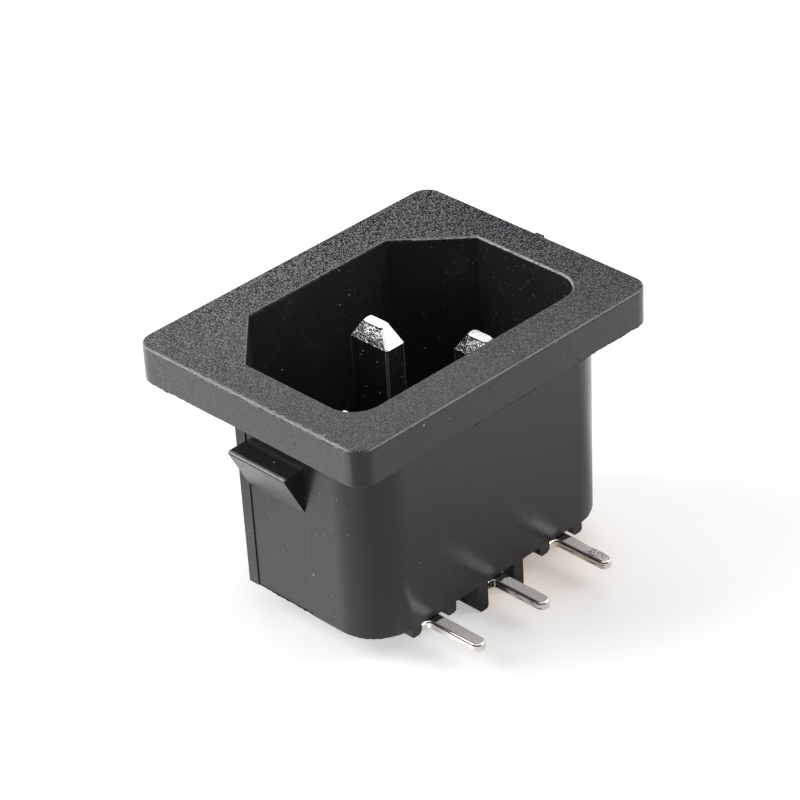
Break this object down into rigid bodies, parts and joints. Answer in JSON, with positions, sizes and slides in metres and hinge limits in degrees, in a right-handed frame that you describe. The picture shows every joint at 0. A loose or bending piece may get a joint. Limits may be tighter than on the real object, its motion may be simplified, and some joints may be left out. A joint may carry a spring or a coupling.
{
  "type": "panel inlet socket",
  "caption": "Snap-in mains inlet: rectangular flange, six-sided shrouded cavity with flat blades, snap wedges on the short walls and solder tails turned to one side.",
  "frame": {"origin": "middle of the plug opening, in the plane of the flange's underside, where it seats on the panel", "axes": "+Z out of the opening, the way a plug is pulled out; +X along the flange's long side; +Y towards the two cut corners, so the solder tails leave towards -Y"},
  "size_m": [0.0313, 0.0268, 0.0219],
  "materials": {
    "housing": "moulded black, sparked flange face and smooth walls",
    "blades": "bright nickel plate",
    "strips": "dull tin plate"
  },
  "bodies": {
    "root": {"housing": "housing", "line_pin": "blades", "neutral_pin": "blades", "earth_pin": "blades", "line_solder_strip": "strips", "neutral_solder_strip": "strips", "earth_solder_strip": "strips"}
  },
  "joints": []
}
